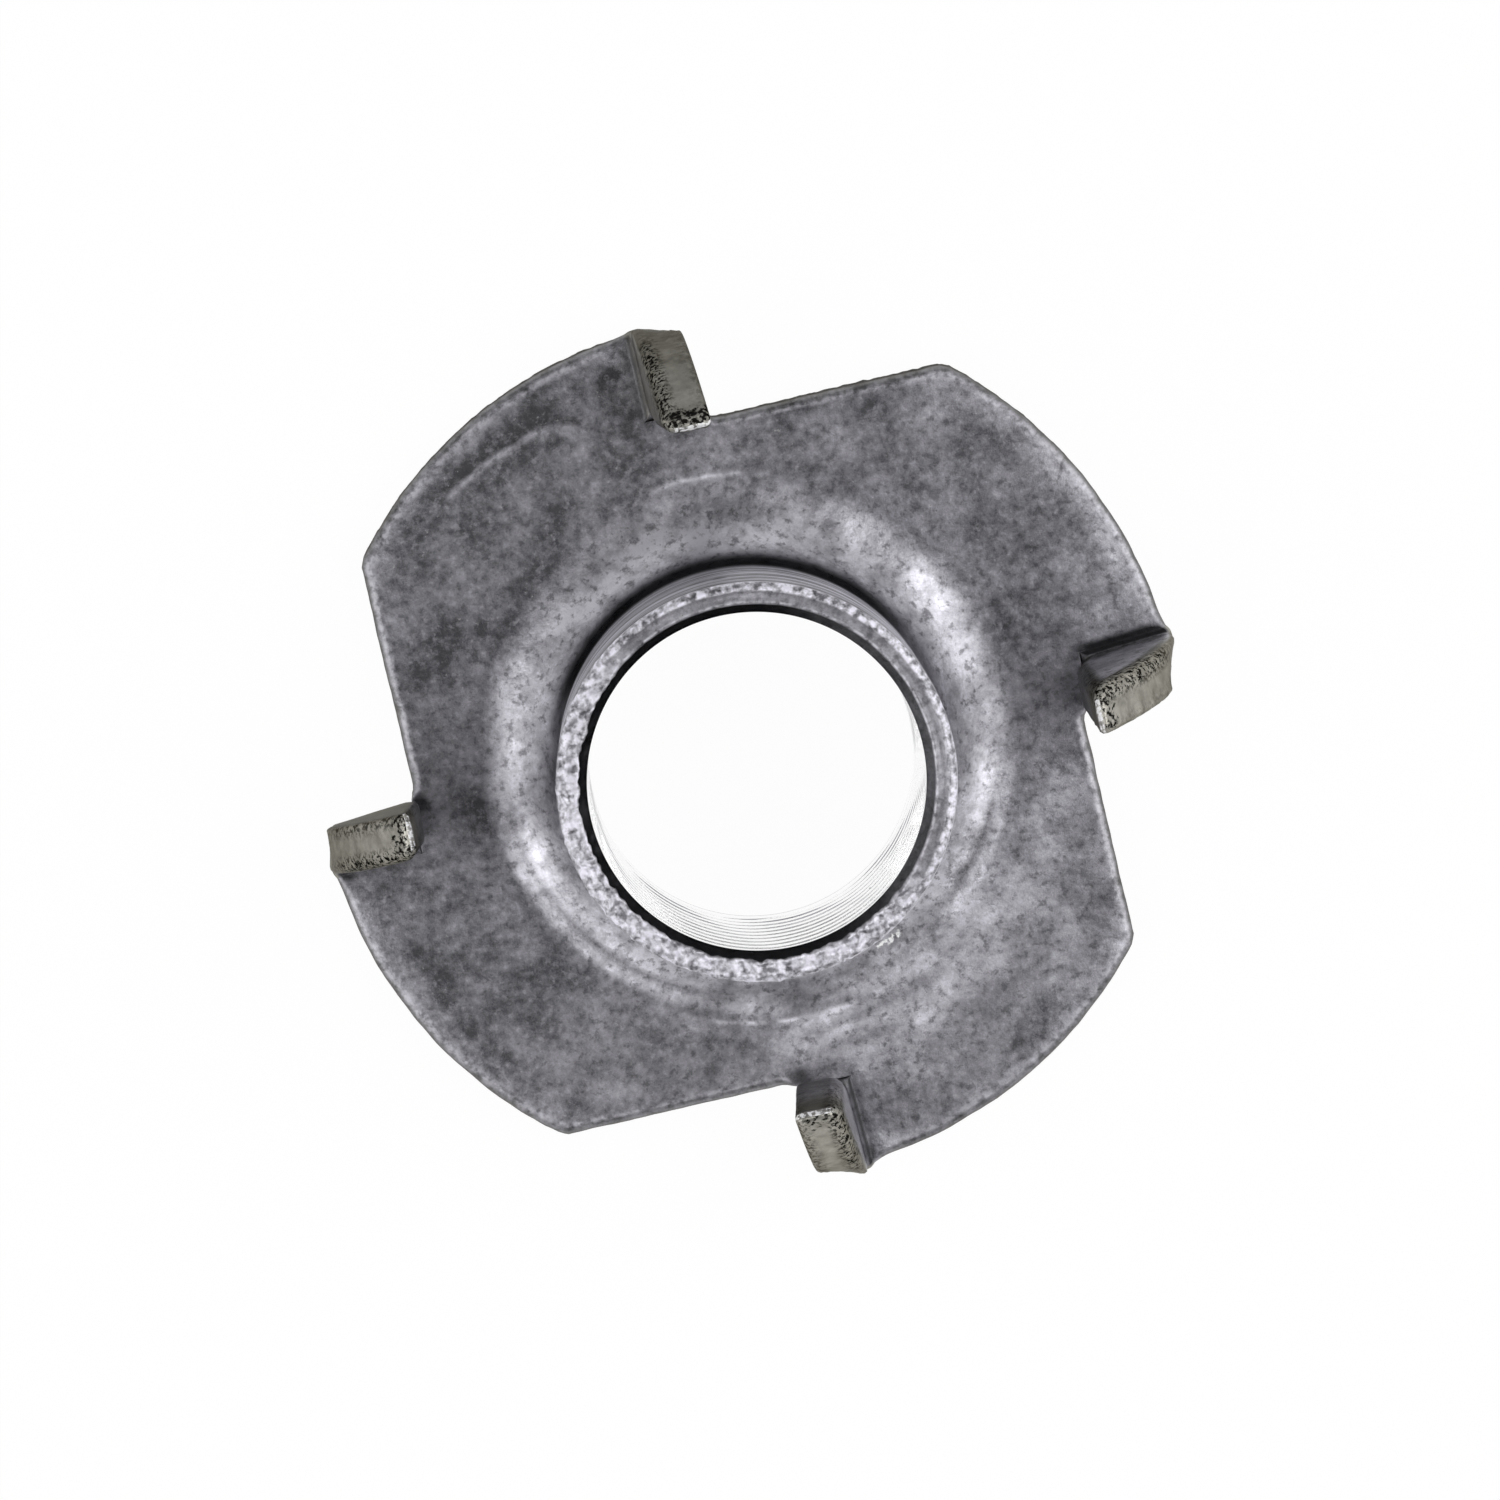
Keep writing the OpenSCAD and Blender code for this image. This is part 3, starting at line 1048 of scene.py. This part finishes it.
# %% White floor
reach = 2.0
floor_mesh = bpy.data.meshes.new("floor")
floor_mesh.from_pydata([(-reach, -reach, 0), (reach, -reach, 0), (reach, reach, 0), (-reach, reach, 0)],
                       [], [(0, 1, 2, 3)])
floor = bpy.data.objects.new("floor", floor_mesh)
floor.location.z = -0.02 * MM
bpy.context.scene.collection.objects.link(floor)
paper = bpy.data.materials.new("white_paper")
paper.use_nodes = True
nodes, links = paper.node_tree.nodes, paper.node_tree.links
paint = nodes["Principled BSDF"]
paint.inputs["Base Color"].default_value = (0.9, 0.9, 0.9, 1)
paint.inputs["Roughness"].default_value = 0.9
white_share = 0.97
path = nodes.new("ShaderNodeLightPath")
seen = math_node("MAXIMUM", path.outputs["Is Camera Ray"], path.outputs["Is Glossy Ray"])
seen = math_node("MAXIMUM", seen, path.outputs["Is Transmission Ray"])
blend = nodes.new("ShaderNodeMixShader")
links.new(math_node("MULTIPLY", seen, white_share), blend.inputs["Fac"])
links.new(paint.outputs[0], blend.inputs[1])
links.new(nodes.new("ShaderNodeEmission").outputs[0], blend.inputs[2])
links.new(blend.outputs[0], nodes["Material Output"].inputs["Surface"])
floor_mesh.materials.append(paper)
print("share of the floor that shows plain white:", white_share)

# %% [markdown]
# The room round the nut is light near the horizon and dim overhead. The upright sides of the nut
# mirror the horizon and the flat flange mirrors the ceiling, so this keeps the flange a darker grey.
# The camera itself sees plain white where there is no floor.

# %% Room
world = bpy.data.worlds.new("room")
bpy.context.scene.world = world
world.use_nodes = True
nodes, links = world.node_tree.nodes, world.node_tree.links
room = nodes["Background"]
room.inputs["Color"].default_value = (1, 1, 1, 1)
direction = nodes.new("ShaderNodeSeparateXYZ")
links.new(nodes.new("ShaderNodeTexCoord").outputs["Generated"], direction.inputs["Vector"])
glow = nodes.new("ShaderNodeMapRange")
glow.inputs["From Min"].default_value = 0.15
glow.inputs["From Max"].default_value = 0.65
glow.inputs["To Min"].default_value = 0.8
glow.inputs["To Max"].default_value = 0.12
links.new(direction.outputs["Z"], glow.inputs["Value"])
links.new(glow.outputs["Result"], room.inputs["Strength"])
white = nodes.new("ShaderNodeBackground")
white.inputs["Color"].default_value = (1, 1, 1, 1)
choose = nodes.new("ShaderNodeMixShader")
path = nodes.new("ShaderNodeLightPath")
links.new(path.outputs["Is Camera Ray"], choose.inputs["Fac"])
links.new(room.outputs[0], choose.inputs[1])
links.new(white.outputs[0], choose.inputs[2])
links.new(choose.outputs[0], nodes["World Output"].inputs["Surface"])
print("room:", world.name, "with", len(nodes), "nodes")

# %% [markdown]
# The metal shows its surroundings, so each lamp is placed for the surface that mirrors it. The flat flange
# mirrors the weak panel overhead. The root radius round the barrel mirrors the two softboxes at the sides,
# and that makes the bright crescents left and right of the barrel, together with the highlights painted round
# its foot. Their strength is given as brightness, so that a lamp can be made larger without changing how
# white it looks.

# %% Lamps
def softbox(name, toward, tilt, distance, size, radiance):
    """A lamp that looks at the nut from a compass direction and a tilt off the vertical, in degrees."""
    data = bpy.data.lights.new(name, "AREA")
    data.shape = "RECTANGLE"
    data.size, data.size_y = size[0] * MM, size[1] * MM
    data.energy = radiance * math.pi * data.size * data.size_y
    lamp = bpy.data.objects.new(name, data)
    a, b = math.radians(toward), math.radians(tilt)
    way = Vector((math.sin(b) * math.cos(a), math.sin(b) * math.sin(a), math.cos(b)))
    lamp.location = way * distance * MM
    lamp.rotation_euler = way.to_track_quat("Z", "Y").to_euler()
    bpy.context.scene.collection.objects.link(lamp)
    print(name, "gives", round(data.energy, 3), "W")


softbox("right_softbox", 2, 42, 230, (190, 190), 3.0)
softbox("left_softbox", 191, 42, 230, (180, 190), 2.6)
softbox("top_panel", 78, 4, 320, (230, 230), 0.25)
bpy.context.scene.view_settings.view_transform = "Standard"
